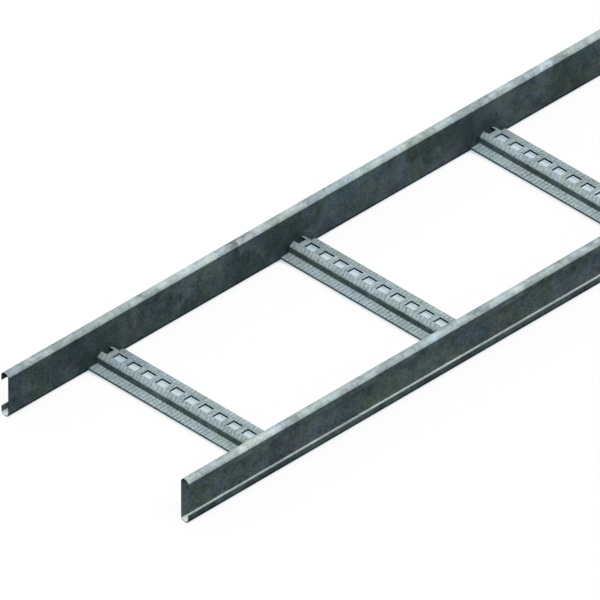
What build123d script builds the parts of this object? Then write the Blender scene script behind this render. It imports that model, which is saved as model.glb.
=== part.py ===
from build123d import *
import os

os.makedirs("parts", exist_ok=True)

# Cable ladder section: two roll-formed side rails joined by slotted rungs.
# Frame: X along the rails, Y across the ladder, Z up, all in millimetres.
# The origin is at the middle of the ladder, level with the rails' underside.

# Ladder layout
section_length = 3000.0
inner_width = 300.0
rung_pitch = 333.333

# Side rails: sheet rolled to a C with rounded edges, open side outward
rail_height = 65.0
rail_flange = 13.5
rail_lip = 13.2
rail_sheet = 1.5

# Rungs: sheet formed to a hat section with level feet, sizes of its upper face
rung_width = 60.0
rung_top = 20.0
foot_top = 7.0
rung_sheet = 3.0
foot_gap = 32.8
shoulder_width = 29.0
shoulder_height = 16.3
crown_width = 16.0
foot_bend = 2.2
shoulder_bend = 4.5
crown_bend = 4.0

# Slots in the crown of each rung, for cable ties and cleats
slot_length = 16.0
slot_width = 13.0
slot_pitch = 25.0

# Rail section, drawn for the left side: web on the inside, lips on the outside
curl_radius = rail_flange / 2
curl_bore = curl_radius - rail_sheet
upper_curl = rail_height - curl_radius
upper_lip = rail_height - rail_lip
web_in = inner_width / 2
web_out = web_in + rail_sheet
lip_out = web_in + rail_flange
lip_in = lip_out - rail_sheet
curl_y = web_in + curl_radius

with BuildPart() as rail_left:
    with BuildSketch(Plane.YZ.offset(-section_length / 2)):
        with BuildLine():
            Line((web_in, curl_radius), (web_in, upper_curl))
            CenterArc((curl_y, upper_curl), curl_radius, 0, 180)
            Polyline((lip_out, upper_curl), (lip_out, upper_lip), (lip_in, upper_lip), (lip_in, upper_curl))
            CenterArc((curl_y, upper_curl), curl_bore, 0, 180)
            Line((web_out, upper_curl), (web_out, curl_radius))
            CenterArc((curl_y, curl_radius), curl_bore, 180, 180)
            Polyline((lip_in, curl_radius), (lip_in, rail_lip), (lip_out, rail_lip), (lip_out, curl_radius))
            CenterArc((curl_y, curl_radius), curl_radius, 180, 180)
        make_face()
    extrude(amount=section_length)
rail_left.part.label = "rail_left"
export_step(rail_left.part, "parts/rail_left.step")

# The right rail is the left rail mirrored across the middle of the ladder
with BuildPart() as rail_right:
    add(mirror(rail_left.part, about=Plane.XZ))
rail_right.part.label = "rail_right"
export_step(rail_right.part, "parts/rail_right.step")

# The rungs stand between the rail webs and touch them with their cut ends.
# As many fit as the length has whole pitches, and about half a pitch stays free at each end.
rung_count = int(section_length / rung_pitch)
first_rung = -rung_pitch * (rung_count - 1) / 2

# The slots run on past both cut ends of the rung, which leaves half a slot open there
slot_count = int(inner_width / slot_pitch) + 1

for index in range(rung_count):
    rung_x = first_rung + index * rung_pitch
    with BuildPart() as rung:
        with BuildSketch(Plane(origin=(rung_x, web_in, 0), x_dir=(1, 0, 0), z_dir=(0, -1, 0))):
            # The hat's upper face, then thickened downward by the sheet
            with BuildLine():
                FilletPolyline(
                    (-rung_width / 2, foot_top),
                    (-foot_gap / 2, foot_top),
                    (-shoulder_width / 2, shoulder_height),
                    (-crown_width / 2, rung_top),
                    (crown_width / 2, rung_top),
                    (shoulder_width / 2, shoulder_height),
                    (foot_gap / 2, foot_top),
                    (rung_width / 2, foot_top),
                    radius=(foot_bend, shoulder_bend, crown_bend, crown_bend, shoulder_bend, foot_bend),
                )
                offset(amount=rung_sheet, side=Side.RIGHT)
            make_face()
        extrude(amount=inner_width)
        with BuildSketch(Plane.XY.offset(rung_top)):
            with Locations((rung_x, 0)):
                with GridLocations(slot_pitch, slot_pitch, 1, slot_count):
                    Rectangle(slot_width, slot_length)
        extrude(amount=-2 * rung_sheet, mode=Mode.SUBTRACT)
    rung.part.label = f"rung_{index + 1:02d}"
    export_step(rung.part, f"parts/rung_{index + 1:02d}.step")
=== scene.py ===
import logging
import math
from dataclasses import dataclass, field
from enum import Enum

import bmesh
import bpy
from mathutils import Matrix, Vector


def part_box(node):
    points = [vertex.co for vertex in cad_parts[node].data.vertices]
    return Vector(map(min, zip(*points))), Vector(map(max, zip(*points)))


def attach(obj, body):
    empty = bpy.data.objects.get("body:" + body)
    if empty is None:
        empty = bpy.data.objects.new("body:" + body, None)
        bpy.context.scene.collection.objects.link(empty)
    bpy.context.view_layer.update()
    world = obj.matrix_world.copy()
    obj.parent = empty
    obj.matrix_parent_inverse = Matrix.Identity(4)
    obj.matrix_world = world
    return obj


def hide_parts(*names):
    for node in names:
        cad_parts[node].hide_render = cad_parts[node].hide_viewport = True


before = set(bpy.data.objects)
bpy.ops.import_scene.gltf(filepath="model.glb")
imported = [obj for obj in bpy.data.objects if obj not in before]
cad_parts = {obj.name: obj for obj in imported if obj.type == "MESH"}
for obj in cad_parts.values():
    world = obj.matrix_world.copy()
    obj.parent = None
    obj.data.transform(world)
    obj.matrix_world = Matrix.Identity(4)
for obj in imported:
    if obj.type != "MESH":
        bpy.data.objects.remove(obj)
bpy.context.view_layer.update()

# The looks of a cable ladder section: two zinc-coated side rails and the slotted, finely ribbed
# rungs between them, on a pale studio floor. All lengths are in metres, in the frame's own axes:
# X along the rails, Y across the ladder, Z up.

BODY = "root"
MM = 0.001

# Turns and lengths smaller than this count as none
TINY = 1e-6

logger = logging.getLogger("cable_ladder")

Colour = tuple[float, float, float]
Span = tuple[float, float]

WHITE: Colour = (1.0, 1.0, 1.0)


class Side(Enum):
    """The two sides of the ladder, as the sign of Y."""

    LEFT = 1
    RIGHT = -1


class Surface(Enum):
    """What a face of a formed sheet is, as the number of its material."""

    SHEET = 0
    CUT_EDGE = 1
    INSIDE = 2
    SLOT_SIDE = 3


@dataclass(frozen=True)
class Corner:
    """A corner of a bent sheet's outer face, with its bend radius."""

    across: float
    up: float
    radius: float = 0.0


@dataclass(frozen=True)
class PathPoint:
    """A point of a bent sheet's outer face and the way the face looks there."""

    across: float
    up: float
    look_across: float
    look_up: float

    def moved(self, outward: float, onward: float = 0.0) -> "PathPoint":
        """Gives the point moved along its look, and along the path.

        Args:
            outward: How far it moves the way the face looks.
            onward: How far it moves along the path.

        Returns:
            The moved point, with the same look.
        """
        across = self.across + outward * self.look_across + onward * self.look_up
        up = self.up + outward * self.look_up - onward * self.look_across
        return PathPoint(across, up, self.look_across, self.look_up)


def bent_path(corners: list[Corner], arc_step: float) -> list[PathPoint]:
    """Rounds the corners of a sheet's outer face.

    Args:
        corners: The corners in order, with the outer face on the left of the path.
        arc_step: The largest turn between two points of a bend, in radians.

    Returns:
        The points of the face, bends included.
    """
    places = [Vector((c.across, c.up)) for c in corners]
    ways = [(b - a).normalized() for a, b in zip(places, places[1:])]
    points = [PathPoint(places[0].x, places[0].y, -ways[0].y, ways[0].x)]
    for corner, place, way_in, way_out in zip(corners[1:], places[1:], ways, ways[1:]):
        turn = math.atan2(way_in.x * way_out.y - way_in.y * way_out.x, way_in.dot(way_out))
        if corner.radius == 0 or abs(turn) < TINY:
            points.append(PathPoint(place.x, place.y, -way_in.y, way_in.x))
            continue
        start = place - way_in * corner.radius * math.tan(abs(turn) / 2)
        reach = math.copysign(corner.radius, turn)
        centre = start + Vector((-way_in.y, way_in.x)) * reach
        steps = max(2, math.ceil(abs(turn) / arc_step))
        for step in range(steps + 1):
            angle = turn * step / steps
            way = Vector((
                way_in.x * math.cos(angle) - way_in.y * math.sin(angle),
                way_in.x * math.sin(angle) + way_in.y * math.cos(angle),
            ))
            look = Vector((-way.y, way.x))
            spot = centre - look * reach
            points.append(PathPoint(spot.x, spot.y, look.x, look.y))
    points.append(PathPoint(places[-1].x, places[-1].y, -ways[-1].y, ways[-1].x))
    return points


@dataclass
class RingFaces:
    """The faces between the rings of points that stand at a formed sheet's stations.

    A ring runs through the outer face, the far cut edge, the inner face back again, and the near
    cut edge. The columns are the points of the outer face, and the rows are the stations.
    """

    columns: int
    rows: int
    loops: list[tuple[int, ...]] = field(default_factory=list)
    kinds: list[int] = field(default_factory=list)

    @property
    def far_edge(self) -> int:
        """Gives the ring number where the far cut edge starts."""
        return self.columns

    @property
    def near_edge(self) -> int:
        """Gives the ring number where the near cut edge starts."""
        return 2 * self.columns + 2

    def inner(self, column: int) -> int:
        """Gives the ring number of the inner face's point under a column."""
        return 2 * self.columns + 1 - column

    def add(self, kind: Surface, *corners: tuple[int, int]) -> None:
        """Adds a face.

        Args:
            kind: What the face is.
            *corners: The ring number and the row of each corner.
        """
        ring_size = 2 * self.columns + 4
        self.loops.append(tuple(row * ring_size + number % ring_size for number, row in corners))
        self.kinds.append(kind.value)

    def add_strip(self, kind: Surface, number: int, row: int) -> None:
        """Adds the face between a ring number and the next, from a row to the next."""
        self.add(kind, (number, row), (number + 1, row), (number + 1, row + 1), (number, row + 1))

    def add_cap(self, row: int, *numbers: int) -> None:
        """Adds a face of a cut end, between ring numbers of one row."""
        self.add(Surface.CUT_EDGE, *((number, row) for number in numbers))


@dataclass
class FormedSheet:
    """A strip of sheet metal, bent to a section that runs along a straight line."""

    name: str
    sheet: float
    edge_break: float = 0.25 * MM
    end_break: float = 0.0
    arc_step: float = math.radians(7.5)
    sharp_angle: float = math.radians(28)

    def corners(self) -> list[Corner]:
        """Gives the corners of the outer face."""
        raise NotImplementedError

    def stations(self) -> list[float]:
        """Gives the places along the line where the section is set."""
        raise NotImplementedError

    def place(self, point: PathPoint, along: float) -> Vector:
        """Gives the place in the frame of a point of the section."""
        raise NotImplementedError

    def is_open(self, column: int, row: int) -> bool:
        """Says whether a cell of the sheet is cut out."""
        return False

    def lift(self, column: int, row: int) -> float:
        """Gives how far the outer face stands out."""
        return 0.0

    def drop(self, column: int, row: int) -> float:
        """Gives how far the inner face stands off its true place, away from the outer one."""
        return 0.0

    def mesh(self) -> bpy.types.Mesh:
        """Builds the sheet's closed mesh.

        Returns:
            The mesh, with smooth bends, sharp edges and the number of each face's material.
        """
        path = bent_path(self.corners(), self.arc_step)
        lines = self.stations()
        points = [point for row in range(len(lines)) for point in self._ring(path, lines, row)]
        faces = RingFaces(len(path), len(lines))
        self._add_sheet(faces)
        self._add_walls(faces)
        self._add_ends(faces)
        return self._finished_mesh(points, faces)

    def _ring(self, path: list[PathPoint], lines: list[float], row: int) -> list[Vector]:
        """Gives the ring of points at a station.

        Args:
            path: The points of the outer face.
            lines: All stations.
            row: The number of this one.

        Returns:
            The ring's points, in the frame.
        """
        shrink = self.end_break if row in (0, len(lines) - 1) else 0.0
        outer_face: list[PathPoint] = []
        inner_face: list[PathPoint] = []
        for column, point in enumerate(path):
            onward = {0: self.edge_break, len(path) - 1: -self.edge_break}.get(column, 0.0)
            outer_face.append(point.moved(self.lift(column, row) - shrink, onward))
            inner_face.append(point.moved(shrink - self.sheet - self.drop(column, row), onward))
        first, last = path[0], path[-1]
        upper = -self.edge_break - shrink
        lower = self.edge_break + shrink - self.sheet
        far = [last.moved(upper, -shrink), last.moved(lower, -shrink)]
        near = [first.moved(lower, shrink), first.moved(upper, shrink)]
        ring = outer_face + far + inner_face[::-1] + near
        return [self.place(point, lines[row]) for point in ring]

    def _add_sheet(self, faces: RingFaces) -> None:
        """Adds both faces of the sheet and its two long cut edges.

        Args:
            faces: The faces that they are added to.
        """
        for row in range(faces.rows - 1):
            for column in range(faces.columns - 1):
                if not self.is_open(column, row):
                    faces.add_strip(Surface.SHEET, column, row)
                    faces.add_strip(Surface.INSIDE, faces.inner(column + 1), row)
            for edge in (faces.far_edge, faces.near_edge):
                for number in range(edge - 1, edge + 2):
                    faces.add_strip(Surface.CUT_EDGE, number, row)

    def _add_walls(self, faces: RingFaces) -> None:
        """Closes the sheet's thickness round the cut-out cells.

        Args:
            faces: The faces that the walls are added to.
        """
        for row in range(faces.rows - 1):
            for column in range(faces.columns - 1):
                if self.is_open(column, row):
                    self._add_cell_walls(faces, column, row)

    def _add_cell_walls(self, faces: RingFaces, column: int, row: int) -> None:
        """Closes the sheet's thickness on the sides of a cut-out cell that meet the sheet.

        Args:
            faces: The faces that the walls are added to.
            column: The cell's column.
            row: The cell's row.
        """
        sides = (
            (Surface.SLOT_SIDE, (column - 1, row), (column, row), (column, row + 1)),
            (Surface.SLOT_SIDE, (column + 1, row), (column + 1, row), (column + 1, row + 1)),
            (Surface.CUT_EDGE, (column, row - 1), (column, row), (column + 1, row)),
            (Surface.CUT_EDGE, (column, row + 1), (column, row + 1), (column + 1, row + 1)),
        )
        for kind, (next_column, next_row), a, b in sides:
            on_sheet = 0 <= next_column < faces.columns - 1 and 0 <= next_row < faces.rows - 1
            if on_sheet and not self.is_open(next_column, next_row):
                faces.add(kind, a, b, (faces.inner(b[0]), b[1]), (faces.inner(a[0]), a[1]))

    def _add_ends(self, faces: RingFaces) -> None:
        """Closes the sheet's two cut ends.

        Args:
            faces: The faces that the ends are added to.
        """
        last = faces.columns - 1
        for row, cell_row in ((0, 0), (faces.rows - 1, faces.rows - 2)):
            for column in range(last):
                if not self.is_open(column, cell_row):
                    faces.add_cap(row, column, column + 1, faces.inner(column + 1), faces.inner(column))
            faces.add_cap(row, last, faces.far_edge, faces.far_edge + 1, faces.inner(last))
            faces.add_cap(row, faces.inner(0), faces.near_edge, faces.near_edge + 1, 0)

    def _finished_mesh(self, points: list[Vector], faces: RingFaces) -> bpy.types.Mesh:
        """Makes the mesh, turns its faces outward and smooths its bends.

        Args:
            points: The points of all rings.
            faces: The faces between them.

        Returns:
            The finished mesh, with no loose points.
        """
        used = sorted({number for loop in faces.loops for number in loop})
        order = {number: place for place, number in enumerate(used)}
        loops = [tuple(order[number] for number in loop) for loop in faces.loops]
        mesh = bpy.data.meshes.new(self.name)
        mesh.from_pydata([points[number] for number in used], [], loops)
        mesh.polygons.foreach_set("material_index", faces.kinds)
        shell = bmesh.new()
        shell.from_mesh(mesh)
        bmesh.ops.recalc_face_normals(shell, faces=shell.faces)
        shell.to_mesh(mesh)
        shell.free()
        mesh.shade_smooth()
        mesh.set_sharp_from_angle(angle=self.sharp_angle)
        return mesh

    def dress(self, mesh: bpy.types.Mesh, materials: list[bpy.types.Material]) -> bpy.types.Object:
        """Shows a mesh in place of the plain node of the same name.

        Args:
            mesh: The mesh, in the frame.
            materials: Its materials, in the order of Surface.

        Returns:
            The new piece.
        """
        name = self.name
        piece = bpy.data.objects.new(f"{name}_formed", mesh)
        bpy.context.scene.collection.objects.link(piece)
        for material in materials:
            mesh.materials.append(material)
        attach(piece, BODY)
        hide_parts(name)
        logger.info("%s: %d faces", piece.name, len(mesh.polygons))
        return piece


@dataclass
class SideRail(FormedSheet):
    """A side rail: sheet rolled to a C with rounded edges, its open side outward."""

    side: Side = Side.LEFT
    sheet: float = 1.5 * MM
    end_break: float = 0.15 * MM
    lip: float = 13.2 * MM
    parts: int = 30

    def __post_init__(self) -> None:
        """Takes the rail's length, height and depth from its node."""
        low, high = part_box(self.name)
        self.start = low.x
        self.end = high.x
        self.height = high.z - low.z
        self.depth = high.y - low.y
        self.web = min(abs(low.y), abs(high.y))

    def corners(self) -> list[Corner]:
        """Gives the corners of the rail's outer face.

        Returns:
            The corners, from the lower lip round to the upper one.
        """
        curl = self.depth / 2
        return [
            Corner(self.depth, self.lip),
            Corner(self.depth, 0.0, curl),
            Corner(0.0, 0.0, curl),
            Corner(0.0, self.height, curl),
            Corner(self.depth, self.height, curl),
            Corner(self.depth, self.height - self.lip),
        ]

    def stations(self) -> list[float]:
        """Gives the rail's stations.

        Returns:
            The cut ends, the inner rims of their broken edges, and places between.
        """
        length = self.end - self.start
        inside = [self.start + length * part / self.parts for part in range(1, self.parts)]
        return [self.start, self.start + self.end_break, *inside, self.end - self.end_break, self.end]

    def place(self, point: PathPoint, along: float) -> Vector:
        """Puts a point of the section on this rail's side of the ladder."""
        return Vector((along, self.side.value * (self.web + point.across), point.up))


@dataclass(frozen=True)
class RibPattern:
    """The fine ribs rolled across a rung, which its relief and its painted highlight share.

    The ribs on the shoulder and on the crown lie a little further along than those on the feet, and
    the painted highlight lies a little further along than the relief's crests, where the light catches them.
    """

    pitch: float = 6.1 * MM
    depth: float = 0.22 * MM
    relief_start: float = -0.1 * MM
    highlight_start: float = 0.3 * MM
    shoulder_shift: float = 1.2 * MM
    crown_shift: float = 1.7 * MM
    shoulder_rise: Span = (9.5 * MM, 12.5 * MM)
    crown_rise: Span = (17.3 * MM, 19.6 * MM)
    upright_fade: Span = (0.35, 0.75)
    steps: int = 6

    def relief(self, along: float, up: float, look_up: float) -> float:
        """Gives the ribs' relief, which fades out on the upright walls.

        Args:
            along: The place along the rung.
            up: The place's height.
            look_up: How far the face looks up there.

        Returns:
            How far the face stands out, at most zero.
        """
        shift = self.shoulder_shift * self._share(up, self.shoulder_rise)
        shift += self.crown_shift * self._share(up, self.crown_rise)
        phase = 2 * math.pi * (along - self.relief_start - shift) / self.pitch
        return -self.depth * self._share(look_up, self.upright_fade) * (1 - math.cos(phase)) / 2

    @staticmethod
    def _share(value: float, span: Span) -> float:
        """Gives how far a value has come through a span, from 0 to 1."""
        return max(0.0, min(1.0, (value - span[0]) / (span[1] - span[0])))


RIBS = RibPattern()


@dataclass
class Rung(FormedSheet):
    """A rung: slotted sheet formed to a hat section, with fine ribs rolled across its upper face."""

    sheet: float = 3.0 * MM
    edge_break: float = 0.12 * MM
    arc_step: float = math.radians(15)
    foot_top: float = 7.0 * MM
    foot_gap: float = 32.8 * MM
    shoulder_width: float = 29.0 * MM
    shoulder_height: float = 16.3 * MM
    crown_width: float = 16.0 * MM
    foot_bend: float = 2.2 * MM
    shoulder_bend: float = 4.5 * MM
    crown_bend: float = 4.0 * MM
    slot_length: float = 16.0 * MM
    slot_width: float = 13.0 * MM
    slot_pitch: float = 25.0 * MM
    slot_break: float = 0.06 * MM
    crowding: float = 0.35
    level_look: float = 0.999

    def __post_init__(self) -> None:
        """Takes the rung's place, width and height from its node, and works out its grid."""
        low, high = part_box(self.name)
        self.middle = (low.x + high.x) / 2
        self.width = high.x - low.x
        self.near = low.y
        self.far = high.y
        self.crown_top = high.z
        self.path = bent_path(self.corners(), self.arc_step)
        self.lines = self.stations()
        self.slot_rows = [self._slot_at(a, b) for a, b in zip(self.lines, self.lines[1:])]

    def corners(self) -> list[Corner]:
        """Gives the corners of the rung's upper face.

        Returns:
            The corners from foot to foot, with the slots' sides marked on the crown.
        """
        half_slot = self.slot_width / 2
        rising = [
            Corner(-self.width / 2, self.foot_top),
            Corner(-self.foot_gap / 2, self.foot_top, self.foot_bend),
            Corner(-self.shoulder_width / 2, self.shoulder_height, self.shoulder_bend),
            Corner(-self.crown_width / 2, self.crown_top, self.crown_bend),
            Corner(-half_slot - self.slot_break, self.crown_top),
            Corner(-half_slot, self.crown_top),
        ]
        return rising + [Corner(-c.across, c.up, c.radius) for c in reversed(rising)]

    def stations(self) -> list[float]:
        """Gives the rung's stations.

        Returns:
            A few places to each rib, and two at each slot's end.
        """
        step = RIBS.pitch / RIBS.steps
        count = round((self.far - self.near) / step)
        even = [self.near + (self.far - self.near) * k / count for k in range(count + 1)]
        marks: list[float] = []
        for centre in self._slot_centres():
            for way in (-1, 1):
                marks.append(centre + way * self.slot_length / 2)
                marks.append(centre + way * (self.slot_length / 2 + self.slot_break))
        marks = [m for m in marks if self.near < m < self.far]
        kept = [e for e in even if all(abs(e - m) > self.crowding * step for m in marks)]
        return sorted(kept + marks)

    def _slot_centres(self) -> list[float]:
        """Gives the middles of the slots, and of the half slots at both cut ends."""
        count = round((self.far - self.near) / self.slot_pitch)
        return [(k - count / 2) * self.slot_pitch for k in range(count + 1)]

    def _slot_at(self, start: float, end: float) -> bool:
        """Says whether the stretch between two stations lies in a slot."""
        half = self.slot_length / 2
        return any(abs((start + end) / 2 - centre) < half for centre in self._slot_centres())

    def place(self, point: PathPoint, along: float) -> Vector:
        """Puts a point of the section on this rung."""
        return Vector((self.middle + point.across, along, point.up))

    def is_open(self, column: int, row: int) -> bool:
        """Says whether a cell lies in a slot."""
        middle = (self.path[column].across + self.path[column + 1].across) / 2
        return self.slot_rows[row] and abs(middle) < self.slot_width / 2 and self._on_crown(column)

    def _on_crown(self, column: int) -> bool:
        """Says whether a column of the path lies on the flat of the crown."""
        point = self.path[column]
        return point.look_up > self.level_look and point.up > self.shoulder_height

    def _rim_break(self, column: int, row: int) -> float:
        """Gives how much of the sheet is broken away at the edge of a slot.

        Args:
            column: A column of the path.
            row: A station.

        Returns:
            The depth of the broken edge, or zero away from the slots.
        """
        beside = abs(self.path[column].across) <= self.slot_width / 2 + TINY
        touching = any(self.slot_rows[max(row - 1, 0):row + 1])
        return self.slot_break if beside and touching and self._on_crown(column) else 0.0

    def lift(self, column: int, row: int) -> float:
        """Gives the ribs' relief, less the broken edge of the slots."""
        point = self.path[column]
        return RIBS.relief(self.lines[row], point.up, point.look_up) - self._rim_break(column, row)

    def drop(self, column: int, row: int) -> float:
        """Draws the inner face up at the broken edge of the slots."""
        return -self._rim_break(column, row)


class Wiring:
    """Adds and joins nodes in one node tree, and sets them out in rows."""

    cell_width = 190
    cell_height = 260
    row_length = 12

    def __init__(self, tree: bpy.types.NodeTree) -> None:
        """Starts on a tree.

        Args:
            tree: The node tree, which is emptied.
        """
        self.tree = tree
        self.tree.nodes.clear()
        self.count = 0

    def add(self, kind: str, **settings: object) -> bpy.types.Node:
        """Adds a node.

        Args:
            kind: The node's type.
            **settings: Attributes of the node.

        Returns:
            The new node.
        """
        node = self.tree.nodes.new(kind)
        row, column = divmod(self.count, self.row_length)
        node.location = (self.cell_width * column, -self.cell_height * row)
        self.count += 1
        for key, value in settings.items():
            setattr(node, key, value)
        return node

    def feed(self, target: bpy.types.NodeSocket, value: object) -> None:
        """Links a socket to the target, or sets the target to a plain value.

        Args:
            target: The input that is fed.
            value: A socket, a number, a vector or a colour.
        """
        if isinstance(value, bpy.types.NodeSocket):
            self.tree.links.new(value, target)
        elif isinstance(value, tuple) and len(value) == 3 and target.type == "RGBA":
            target.default_value = (*value, 1.0)
        else:
            target.default_value = value

    def feed_all(self, node: bpy.types.Node, **values: object) -> None:
        """Feeds a node's inputs by name, with _ for each space in the names."""
        for title, value in values.items():
            self.feed(node.inputs[title.replace("_", " ")], value)

    def math(self, operation: str, *values: object) -> bpy.types.NodeSocket:
        """Adds a Math node.

        Args:
            operation: The node's operation.
            *values: Its inputs, sockets or numbers.

        Returns:
            The node's result.
        """
        node = self.add("ShaderNodeMath", operation=operation)
        for target, value in zip(node.inputs, values):
            self.feed(target, value)
        return node.outputs[0]

    def vector(self, operation: str, *values: object) -> bpy.types.NodeSocket:
        """Adds a Vector Math node.

        Args:
            operation: The node's operation.
            *values: Its inputs, sockets or vectors.

        Returns:
            The node's vector.
        """
        node = self.add("ShaderNodeVectorMath", operation=operation)
        for target, value in zip(node.inputs, values):
            self.feed(target, value)
        return node.outputs[0]

    def scaled(self, vector: object, factor: object) -> bpy.types.NodeSocket:
        """Multiplies a vector or a colour by one value.

        Args:
            vector: The vector or colour.
            factor: The value.

        Returns:
            The product.
        """
        product = self.vector("SCALE", vector)
        self.feed_all(product.node, Scale=factor)
        return product

    def ramp(
        self, value: object, span: tuple[object, object], ends: tuple[object, object] = (0.0, 1.0)
    ) -> bpy.types.NodeSocket:
        """Maps a value smoothly from one span to another.

        Args:
            value: The value to map.
            span: Where it starts and ends.
            ends: The results there, which hold beyond it too.

        Returns:
            The mapped value.
        """
        node = self.add("ShaderNodeMapRange", interpolation_type="SMOOTHSTEP")
        self.feed_all(node, Value=value, From_Min=span[0], From_Max=span[1], To_Min=ends[0], To_Max=ends[1])
        return node.outputs[0]

    def between(self, share: object, start: object, end: object) -> bpy.types.NodeSocket:
        """Goes smoothly from one value to another as a share goes from 0 to 1."""
        return self.ramp(share, (0.0, 1.0), (start, end))

    def swing(self, value: object, strength: object) -> bpy.types.NodeSocket:
        """Turns a value between 0 and 1 into one that swings about zero."""
        return self.math("MULTIPLY", self.math("SUBTRACT", value, 0.5), strength)

    def blend(self, share: object, first: object, second: object, way: str = "MIX") -> bpy.types.NodeSocket:
        """Mixes two colours.

        Args:
            share: How much of the second colour shows.
            first: The first colour.
            second: The second colour.
            way: The way they mix.

        Returns:
            The mixed colour.
        """
        node = self.add("ShaderNodeMix", data_type="RGBA", blend_type=way)
        self.feed(node.inputs[0], share)
        self.feed(node.inputs[6], first)
        self.feed(node.inputs[7], second)
        return node.outputs[2]

    def mixed(self, share: object, first: bpy.types.Node, second: bpy.types.Node) -> bpy.types.Node:
        """Mixes two shaders.

        Args:
            share: How much of the second shader shows.
            first: The first shader.
            second: The second shader.

        Returns:
            The mixed shader.
        """
        node = self.add("ShaderNodeMixShader")
        for target, value in zip(node.inputs, (share, first.outputs[0], second.outputs[0])):
            self.feed(target, value)
        return node

    def parts(self, value: bpy.types.NodeSocket) -> tuple[bpy.types.NodeSocket, ...]:
        """Splits a vector into its three parts.

        Args:
            value: The vector.

        Returns:
            Its parts.
        """
        node = self.add("ShaderNodeSeparateXYZ")
        self.feed(node.inputs[0], value)
        return tuple(node.outputs)

    def joined(self, across: object, along: object, up: object) -> bpy.types.NodeSocket:
        """Joins three values into a vector.

        Args:
            across: Its first part.
            along: Its second part.
            up: Its third part.

        Returns:
            The vector.
        """
        node = self.add("ShaderNodeCombineXYZ")
        self.feed_all(node, X=across, Y=along, Z=up)
        return node.outputs[0]

    def spot(self) -> bpy.types.NodeSocket:
        """Gives the place on the object, in metres."""
        return self.add("ShaderNodeTexCoord").outputs["Object"]

    def cloud(
        self, place: object, scale: float = 1.0, detail: float = 3.0, rough: float = 0.5, output: str = "Fac"
    ) -> bpy.types.NodeSocket:
        """Adds cloud-like noise.

        Args:
            place: The place that it is read at.
            scale: How many clouds there are to a unit.
            detail: How many finer layers it has.
            rough: How strong the finer layers are.
            output: The noise's value, or its colour, whose three parts differ.

        Returns:
            The noise, from 0 to 1.
        """
        node = self.add("ShaderNodeTexNoise")
        self.feed_all(node, Vector=place, Scale=scale, Detail=detail, Roughness=rough)
        return node.outputs[output]

    def crystals(self, place: object, scale: float, smoothness: float) -> tuple[bpy.types.NodeSocket, ...]:
        """Adds soft-edged crystals.

        Args:
            place: The place that they are read at.
            scale: How many crystals there are to a unit.
            smoothness: How far they run into each other.

        Returns:
            Three values that differ from crystal to crystal.
        """
        node = self.add("ShaderNodeTexVoronoi", feature="SMOOTH_F1")
        self.feed_all(node, Vector=place, Scale=scale, Smoothness=smoothness)
        return self.parts(node.outputs["Color"])


class Effect:
    """A shader node group that several materials share, built once."""

    built: dict[str, bpy.types.ShaderNodeTree] = {}

    def __init__(self, name: str, takes: dict[str, float], gives: tuple[str, ...]) -> None:
        """Makes the group with its named inputs and outputs, all plain values.

        Args:
            name: The group's name.
            takes: The inputs, each with the value it has unless it is set.
            gives: The outputs.
        """
        self.tree = bpy.data.node_groups.new(name, "ShaderNodeTree")
        self.wires = Wiring(self.tree)
        for title, value in takes.items():
            socket = self.tree.interface.new_socket(title, in_out="INPUT", socket_type="NodeSocketFloat")
            socket.default_value = value
        for title in gives:
            self.tree.interface.new_socket(title, in_out="OUTPUT", socket_type="NodeSocketFloat")
        self.inlet = self.wires.add("NodeGroupInput").outputs
        self.outlet = self.wires.add("NodeGroupOutput").inputs
        Effect.built[name] = self.tree

    @staticmethod
    def use(wires: Wiring, name: str, **values: object) -> dict[str, bpy.types.NodeSocket]:
        """Places a built group in a material.

        Args:
            wires: The material's wiring.
            name: The group's name.
            **values: Its inputs, with _ for each space in their names.

        Returns:
            Its outputs by name.
        """
        node = wires.add("ShaderNodeGroup", node_tree=Effect.built[name])
        wires.feed_all(node, **values)
        return {socket.name: socket for socket in node.outputs}


def build_facing_effect() -> None:
    """Builds the masks of faces that look up, painted lit, and of faces that look down, painted shaded."""
    spans = {"Low": 0.2, "High": 0.36, "Under Low": 0.02, "Under High": 0.2}
    effect = Effect("Facing", spans, ("Up", "Down"))
    w = effect.wires
    inlet = effect.inlet
    look = w.parts(w.add("ShaderNodeNewGeometry").outputs["Normal"])[2]
    w.feed(effect.outlet["Up"], w.ramp(look, (inlet["Low"], inlet["High"])))
    below = w.math("MULTIPLY", look, -1.0)
    w.feed(effect.outlet["Down"], w.ramp(below, (inlet["Under Low"], inlet["Under High"])))


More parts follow.
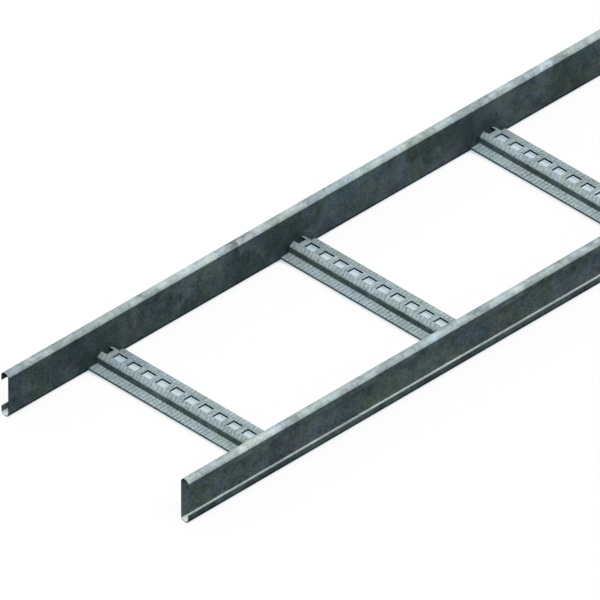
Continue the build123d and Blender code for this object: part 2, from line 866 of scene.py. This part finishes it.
def build_crystal_effect() -> None:
    """Builds the zinc's mottling: crystals and clouds of lighter and darker metal, tints and grain."""
    warp = 2.6
    fine_share = 0.25
    coarse_share = 0.4
    cloud_share = 1.6
    level = -0.62
    takes = {"Size": 0.04, "Frost Size": 0.003}
    effect = Effect("Zinc crystals", takes, ("Tone", "Tint", "Warmth", "Frost"))
    w = effect.wires
    spot = w.spot()
    place = w.scaled(spot, w.math("DIVIDE", 1.0, effect.inlet["Size"]))
    bend = w.cloud(place, scale=1.6, detail=5.0, rough=0.6, output="Color")
    centred = w.vector("SUBTRACT", bend, (0.5, 0.5, 0.5))
    warped = w.vector("ADD", place, w.vector("MULTIPLY", centred, (warp, warp, warp)))
    large = w.crystals(warped, scale=1.0, smoothness=0.5)
    small = w.crystals(warped, scale=3.1, smoothness=0.4)
    clouds = w.parts(w.cloud(place, scale=1.3, detail=6.0, rough=0.8, output="Color"))
    for title, coarse, fine, cloudy in zip(("Tone", "Tint", "Warmth"), large, small, clouds):
        grains = w.math("MULTIPLY_ADD", fine, fine_share, w.math("MULTIPLY", coarse, coarse_share))
        spread = w.math("MULTIPLY_ADD", cloudy, cloud_share, level)
        w.feed(effect.outlet[title], w.math("ADD", grains, spread))
    frost_scale = w.math("DIVIDE", 1.0, effect.inlet["Frost Size"])
    w.feed(effect.outlet["Frost"], w.cloud(spot, frost_scale, detail=4.0, rough=0.65))


def build_run_effect() -> None:
    """Builds the faint upright runs that the zinc leaves as it drains down a wall."""
    slant = 0.31
    turns_across = 9.0
    effect = Effect("Zinc runs", {"Width": 0.006, "Length": 0.12}, ("Runs",))
    w = effect.wires
    x, y, z = w.parts(w.spot())
    across = w.math("DIVIDE", w.math("ADD", x, w.math("MULTIPLY", y, slant)), effect.inlet["Width"])
    down = w.math("DIVIDE", z, effect.inlet["Length"])
    place = w.joined(across, w.math("MULTIPLY", y, turns_across), down)
    w.feed(effect.outlet["Runs"], w.cloud(place, rough=0.6))


def build_rib_effect() -> None:
    """Builds the ribs' painted highlight and shade: bright crests, dull grooves, broken into dashes."""
    wobble_scale = 70.0
    wobble_reach = 0.6 * MM
    dashes_across = 340.0
    dashes_along = 160.0
    dash_span = (0.32, 0.68)
    dash_strength = (0.1, 0.95)
    takes = {
        "Pitch": RIBS.pitch,
        "Start": RIBS.highlight_start,
        "Shoulder Shift": RIBS.shoulder_shift,
        "Crown Shift": RIBS.crown_shift,
    }
    effect = Effect("Cross ribs", takes, ("Crest", "Hat"))
    w = effect.wires
    spot = w.spot()
    along, up = w.parts(spot)[1:]
    hat = w.ramp(up, RIBS.shoulder_rise)
    crown = w.ramp(up, RIBS.crown_rise)
    wobble = w.swing(w.cloud(spot, wobble_scale, detail=2.0), wobble_reach)
    start = w.math("MULTIPLY_ADD", hat, effect.inlet["Shoulder Shift"], effect.inlet["Start"])
    start = w.math("MULTIPLY_ADD", crown, effect.inlet["Crown Shift"], start)
    place = w.math("SUBTRACT", w.math("ADD", along, wobble), start)
    turn = w.math("MULTIPLY", w.math("DIVIDE", place, effect.inlet["Pitch"]), 2 * math.pi)
    dashes = w.vector("MULTIPLY", spot, (dashes_across, dashes_along, 0.0))
    dash_fade = w.ramp(w.cloud(dashes, detail=2.0), dash_span, dash_strength)
    w.feed(effect.outlet["Crest"], w.math("MULTIPLY", w.math("COSINE", turn), dash_fade))
    w.feed(effect.outlet["Hat"], hat)


@dataclass(frozen=True)
class ZincFinish:
    """The zinc coat on one kind of surface, with the overhead lamp's light and shade painted into its
    colour by the way each face looks: pale on faces that look up, darker on walls and undersides
    where a finish doesn't paint them lit.

    The swings, frosts and runs are shares of the colour, and so are the painted highlight and shade
    on the rungs' ribs. A wall's lowest part gets a colour of its own, painted light inside the rails'
    channel and painted shade low on their other walls, and faces that look up close to the floor are
    lightened with painted light.
    """

    name: str
    lit_top_colour: Colour
    side_colour: Colour
    shaded_under_colour: Colour
    low_wall_light_colour: Colour = (0.0, 0.0, 0.0)
    low_wall_light_span: Span = (0.0, 0.0)
    tone_swing: float = 0.3
    side_swing: float = 0.95
    crystal_size: float = 0.045
    top_frost: float = 0.5
    side_frost: float = 1.9
    top_tint: float = 0.35
    side_tint: float = 1.0
    run_swing: float = 0.25
    foot_rib_light: float = 0.0
    hat_rib_light: float = 0.0
    low_painted_light: float = 0.0
    low_painted_light_span: Span = (7.5 * MM, 14.0 * MM)
    top_metallic: float = 0.6
    wall_metallic: float = 0.6
    smoothest: float = 0.42
    roughest: float = 0.62
    gloss_span: Span = (0.2, 0.8)
    relief: float = 0.12
    relief_height: float = 0.6 * MM
    relief_frost: float = 0.35
    turn_span: Span = (0.2, 0.36)
    under_span: Span = (0.02, 0.2)
    violet_tint: Colour = (1.1, 0.94, 1.1)
    green_tint: Colour = (0.9, 1.06, 0.9)
    warm_tint: Colour = (1.07, 1.0, 0.7)
    cool_tint: Colour = (0.93, 1.0, 1.3)

    def build(self) -> bpy.types.Material:
        """Builds the material.

        Returns:
            The material, with tone, tint, roughness and relief from the shared effects.
        """
        material = bpy.data.materials.new(self.name)
        material.use_nodes = True
        w = Wiring(material.node_tree)
        facing = Effect.use(
            w,
            "Facing",
            Low=self.turn_span[0],
            High=self.turn_span[1],
            Under_Low=self.under_span[0],
            Under_High=self.under_span[1],
        )
        crystals = Effect.use(w, "Zinc crystals", Size=self.crystal_size)
        height = w.parts(w.spot())[2]
        light = self._light(w, facing["Up"], crystals, height)
        # The ground colour holds the painted light and shade of the way each face looks.
        ground = self._ground(w, facing, height)
        colour = w.scaled(self._tinted(w, facing["Up"], crystals, ground), light)
        dull = w.ramp(crystals["Tone"], self.gloss_span, (self.roughest, self.smoothest))
        mirror = w.between(facing["Up"], self.wall_metallic, self.top_metallic)
        metallic = w.between(facing["Down"], mirror, 0.0)
        bump = w.add("ShaderNodeBump")
        grain = w.math("ADD", crystals["Tone"], w.math("MULTIPLY", crystals["Frost"], self.relief_frost))
        w.feed_all(bump, Strength=self.relief, Distance=self.relief_height, Height=grain)
        shader = w.add("ShaderNodeBsdfPrincipled")
        w.feed_all(shader, Base_Color=colour, Roughness=dull, Metallic=metallic, Specular_IOR_Level=0.0)
        w.feed(shader.inputs["Normal"], bump.outputs["Normal"])
        w.feed(w.add("ShaderNodeOutputMaterial").inputs["Surface"], shader.outputs[0])
        return material

    def _light(
        self,
        w: Wiring,
        upward: bpy.types.NodeSocket,
        crystals: dict[str, bpy.types.NodeSocket],
        height: bpy.types.NodeSocket,
    ) -> bpy.types.NodeSocket:
        """Builds how much lighter or darker than its colour the zinc is, with the ribs' painted highlight
        and the painted light near the floor.

        Args:
            w: The material's wiring.
            upward: The mask of the faces that look up.
            crystals: The mottling.
            height: The height above the floor.

        Returns:
            The factor on the colour, about 1.
        """
        runs = Effect.use(w, "Zinc runs")["Runs"]
        tone = w.swing(crystals["Tone"], w.between(upward, self.side_swing, self.tone_swing))
        frost = w.swing(crystals["Frost"], w.between(upward, self.side_frost, self.top_frost))
        streak = w.swing(runs, w.between(upward, self.run_swing, 0.0))
        light = w.math("ADD", w.math("ADD", 1.0, tone), w.math("ADD", frost, streak))
        # The ribs' crests get a painted highlight and their grooves painted shade, on faces that look up.
        if self.foot_rib_light:
            ribs = Effect.use(w, "Cross ribs")
            strength = w.between(ribs["Hat"], self.foot_rib_light, self.hat_rib_light)
            crest = w.math("MULTIPLY", ribs["Crest"], w.math("MULTIPLY", strength, upward))
            light = w.math("ADD", light, crest)
        # Faces that look up close to the floor are lightened: painted light against the shade that falls
        # there.
        if self.low_painted_light:
            gain = w.ramp(height, self.low_painted_light_span, (self.low_painted_light, 0.0))
            light = w.math("ADD", light, w.math("MULTIPLY", gain, upward))
        return light

    def _ground(
        self, w: Wiring, facing: dict[str, bpy.types.NodeSocket], height: bpy.types.NodeSocket
    ) -> bpy.types.NodeSocket:
        """Builds the colour before tints, with light and shade painted in by the way the face looks and by
        height.

        Args:
            w: The material's wiring.
            facing: The masks of the faces that look up and down.
            height: The height above the floor.

        Returns:
            The colour.
        """
        wall: object = self.side_colour
        # A wall's lowest part gets its own colour: painted light inside the rails' channel, painted shade
        # low on the rails' other walls.
        if self.low_wall_light_span[1]:
            wall = w.blend(w.ramp(height, self.low_wall_light_span), self.low_wall_light_colour, self.side_colour)
        return w.blend(facing["Down"], w.blend(facing["Up"], wall, self.lit_top_colour), self.shaded_under_colour)

    def _tinted(
        self,
        w: Wiring,
        upward: bpy.types.NodeSocket,
        crystals: dict[str, bpy.types.NodeSocket],
        ground: bpy.types.NodeSocket,
    ) -> bpy.types.NodeSocket:
        """Tints the colour from crystal to crystal.

        Args:
            w: The material's wiring.
            upward: The mask of the faces that look up.
            crystals: The mottling.
            ground: The colour before tints.

        Returns:
            The tinted colour.
        """
        share = w.between(upward, self.side_tint, self.top_tint)
        violet = w.blend(crystals["Tint"], self.violet_tint, self.green_tint)
        warmth = w.blend(crystals["Warmth"], self.warm_tint, self.cool_tint)
        return w.blend(share, w.blend(share, ground, violet, "MULTIPLY"), warmth, "MULTIPLY")


# The rails' zinc, painted pale on top and dark on walls and undersides: painted light and shade.
RAIL_ZINC = ZincFinish(
    "rail_zinc",
    lit_top_colour=(0.393, 0.458, 0.462),
    side_colour=(0.056, 0.083, 0.09),
    shaded_under_colour=(0.019, 0.024, 0.026),
    low_wall_light_colour=(0.05, 0.073, 0.078),
    low_wall_light_span=(0.002, 0.045),
    tone_swing=1.2,
    crystal_size=0.05,
    top_frost=0.6,
    top_tint=0.5,
    run_swing=0.45,
    top_metallic=0.15,
)
# The rails' cut edges, painted darker than the rails' faces: painted shade.
RAIL_EDGE = ZincFinish(
    "rail_edge",
    lit_top_colour=(0.3, 0.36, 0.37),
    side_colour=(0.014, 0.02, 0.022),
    shaded_under_colour=(0.02, 0.026, 0.028),
    crystal_size=0.012,
    top_metallic=0.1,
)
# Inside the rails' channel: walls painted lighter than the rails' other walls against the shade there, and a
# near-white painted highlight on the lower curl where it looks up.
CHANNEL_LIT_ZINC = ZincFinish(
    "channel_zinc_lit",
    lit_top_colour=(0.95, 1.0, 1.0),
    side_colour=(0.098, 0.131, 0.142),
    shaded_under_colour=(0.03, 0.04, 0.042),
    low_wall_light_colour=(0.155, 0.2, 0.21),
    low_wall_light_span=(0.004, 0.03),
    tone_swing=0.8,
    top_metallic=0.1,
    wall_metallic=0.2,
    turn_span=(0.24, 0.42),
)
# The rungs' zinc, painted pale on top and dark on walls and undersides: painted light and shade.
RUNG_ZINC = ZincFinish(
    "rung_zinc",
    lit_top_colour=(0.344, 0.42, 0.437),
    side_colour=(0.086, 0.128, 0.13),
    shaded_under_colour=(0.03, 0.04, 0.042),
    tone_swing=0.5,
    crystal_size=0.04,
    top_frost=1.5,
    foot_rib_light=0.33,
    hat_rib_light=0.29,
    low_painted_light=0.03,
    top_metallic=0.35,
    turn_span=(0.27, 0.55),
)
# The rungs' cut edges, painted darker than the rungs' faces: painted shade.
RUNG_EDGE = ZincFinish(
    "rung_edge",
    lit_top_colour=(0.25, 0.3, 0.31),
    side_colour=(0.06, 0.085, 0.09),
    shaded_under_colour=(0.03, 0.04, 0.042),
    crystal_size=0.012,
)
# Inside the rungs' hat: mirror-like walls whose reflection of the floor is real light, and whose pale
# colour, beside the dark painted outer walls, is painted light.
HOLLOW_LIT_ZINC = ZincFinish(
    "hollow_zinc_lit",
    lit_top_colour=(0.5, 0.58, 0.6),
    side_colour=(0.7, 0.8, 0.84),
    shaded_under_colour=(0.1, 0.12, 0.13),
    side_swing=0.2,
    wall_metallic=1.0,
    smoothest=0.25,
    roughest=0.35,
    under_span=(0.45, 0.8),
)
# The slots' side walls, painted near black and without metal sheen: painted shade.
SLOT_WALL_SHADE = ZincFinish(
    "slot_side",
    lit_top_colour=(0.25, 0.3, 0.31),
    side_colour=(0.003, 0.008, 0.013),
    shaded_under_colour=(0.03, 0.04, 0.042),
    crystal_size=0.012,
    wall_metallic=0.0,
)


@dataclass(frozen=True)
class Studio:
    """The floor, the white surroundings and the soft light from above.

    The floor's white is painted down to a cooler grey where the ladder closes over it, as seen through a
    slot or beside an edge: a painted shadow.
    """

    floor_size: float = 14.0
    floor_colour: Colour = (0.38, 0.38, 0.38)
    pale_colour: Colour = (0.95, 0.95, 0.95)
    floor_whiteness: float = 0.88
    nook_shade_colour: Colour = (0.42, 0.58, 0.69)
    nook_size: float = 0.03
    nook_span: Span = (0.12, 0.34)
    nook_samples: int = 8
    fill: float = 0.5
    fill_colour: Colour = (0.93, 0.98, 1.0)
    key_level: float = 0.6
    key_spread: float = math.radians(60)
    key_from: tuple[float, float, float] = (-0.05, -0.25, 1.0)
    key_distance: float = 3.0

    def build(self) -> None:
        """Builds the floor, the world and the lamp."""
        self._floor()
        self._world()
        self._key()

    @staticmethod
    def _seen(w: Wiring) -> bpy.types.NodeSocket:
        """Gives the mask of the rays that see white.

        Args:
            w: The material's wiring.

        Returns:
            1 for rays that come straight, mirrored or through glass, and otherwise 0.
        """
        path = w.add("ShaderNodeLightPath").outputs
        straight = w.math("MAXIMUM", path["Is Camera Ray"], path["Is Glossy Ray"])
        return w.math("MAXIMUM", straight, path["Is Transmission Ray"])

    def _floor(self) -> None:
        """Builds the pale floor, which looks white, keeps the ladder's soft shadow, and has a painted shadow
        in its nooks.
        """
        half = self.floor_size / 2
        mesh = bpy.data.meshes.new("studio_floor")
        corners = [(-half, -half, 0), (half, -half, 0), (half, half, 0), (-half, half, 0)]
        mesh.from_pydata(corners, [], [(0, 1, 2, 3)])
        floor = bpy.data.objects.new("studio_floor", mesh)
        bpy.context.scene.collection.objects.link(floor)
        material = bpy.data.materials.new("pale_floor")
        material.use_nodes = True
        w = Wiring(material.node_tree)
        plain = w.add("ShaderNodeBsdfDiffuse")
        w.feed_all(plain, Color=self.floor_colour)
        pale = w.add("ShaderNodeBsdfDiffuse")
        w.feed_all(pale, Color=self.pale_colour)
        # Ambient occlusion paints a darker, cooler shadow into the floor's white where the ladder closes
        # over it.
        nook = w.add("ShaderNodeAmbientOcclusion", samples=self.nook_samples)
        w.feed_all(nook, Distance=self.nook_size)
        openness = w.ramp(nook.outputs["AO"], self.nook_span)
        white = w.add("ShaderNodeEmission")
        w.feed_all(white, Color=w.blend(openness, self.nook_shade_colour, WHITE))
        shown = w.mixed(self.floor_whiteness, pale, white)
        mixed = w.mixed(self._seen(w), plain, shown)
        w.feed(w.add("ShaderNodeOutputMaterial").inputs["Surface"], mixed.outputs[0])
        mesh.materials.append(material)

    def _world(self) -> None:
        """Builds the white surroundings and their even fill light."""
        world = bpy.data.worlds.new("studio_world")
        world.use_nodes = True
        w = Wiring(world.node_tree)
        fill = w.add("ShaderNodeBackground")
        w.feed_all(fill, Color=self.fill_colour, Strength=self.fill)
        white = w.add("ShaderNodeBackground")
        w.feed_all(white, Color=WHITE)
        mixed = w.mixed(self._seen(w), fill, white)
        w.feed(w.add("ShaderNodeOutputWorld").inputs["Surface"], mixed.outputs[0])
        bpy.context.scene.world = world

    def _key(self) -> None:
        """Builds the wide soft lamp overhead."""
        lamp = bpy.data.lights.new("overhead_softbox", "SUN")
        lamp.energy = self.key_level * math.pi
        lamp.angle = self.key_spread
        key = bpy.data.objects.new("overhead_softbox", lamp)
        key.rotation_mode = "QUATERNION"
        key.rotation_quaternion = Vector(self.key_from).to_track_quat("Z", "Y")
        key.location = Vector(self.key_from) * self.key_distance
        bpy.context.scene.collection.objects.link(key)


@dataclass(frozen=True)
class Viewpoint:
    """The camera: far off with a long lens, so that the view is all but parallel."""

    looks_at: tuple[float, float, float] = (-1.0705, 0.0756, 0.0)
    heading: float = math.radians(44.87)
    tilt: float = math.radians(35.45)
    distance: float = 35.4
    view_width: float = 0.7403
    sensor_width: float = 36.0
    clip_start: float = 1.0
    clip_end: float = 120.0

    def build(self) -> None:
        """Places the camera and makes it the scene's own."""
        level = math.cos(self.tilt)
        way = Vector((level * math.sin(self.heading), level * math.cos(self.heading), -math.sin(self.tilt)))
        data = bpy.data.cameras.new("viewpoint")
        data.sensor_width = self.sensor_width
        data.lens = self.sensor_width * self.distance / self.view_width
        data.clip_start = self.clip_start
        data.clip_end = self.clip_end
        camera = bpy.data.objects.new("viewpoint", data)
        camera.rotation_mode = "QUATERNION"
        camera.rotation_quaternion = way.to_track_quat("-Z", "Y")
        camera.location = Vector(self.looks_at) - way * self.distance
        bpy.context.scene.collection.objects.link(camera)
        bpy.context.scene.camera = camera


@dataclass(frozen=True)
class Ladder:
    """The whole section: its side rails and its rungs, with their finishes in the order of Surface."""

    rail_finishes: tuple[ZincFinish, ...] = (RAIL_ZINC, RAIL_EDGE, CHANNEL_LIT_ZINC)
    rung_finishes: tuple[ZincFinish, ...] = (RUNG_ZINC, RUNG_EDGE, HOLLOW_LIT_ZINC, SLOT_WALL_SHADE)

    def build_rails(self) -> None:
        """Builds and dresses both side rails."""
        materials = [finish.build() for finish in self.rail_finishes]
        for side in Side:
            rail = SideRail(name=f"rail_{side.name.lower()}", side=side)
            rail.dress(rail.mesh(), materials)

    def build_rungs(self) -> None:
        """Builds the first rung's mesh and dresses every rung in a copy of it, moved to its place."""
        materials = [finish.build() for finish in self.rung_finishes]
        names = sorted(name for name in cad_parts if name.startswith("rung_"))
        rungs = [Rung(name=name) for name in names]
        pattern = rungs[0].mesh()
        for rung in rungs:
            mesh = pattern.copy()
            mesh.name = rung.name
            mesh.transform(Matrix.Translation((rung.middle - rungs[0].middle, 0, 0)))
            rung.dress(mesh, materials)
        bpy.data.meshes.remove(pattern)


def main() -> None:
    """Builds the studio, the effects and the ladder, in that order."""
    logging.basicConfig(level=logging.INFO, format="%(name)s: %(message)s")
    bpy.context.scene.view_settings.view_transform = "Standard"
    Studio().build()
    Viewpoint().build()
    for build in (build_facing_effect, build_crystal_effect, build_run_effect, build_rib_effect):
        build()
    ladder = Ladder()
    ladder.build_rails()
    ladder.build_rungs()


if __name__ == "__main__":
    main()
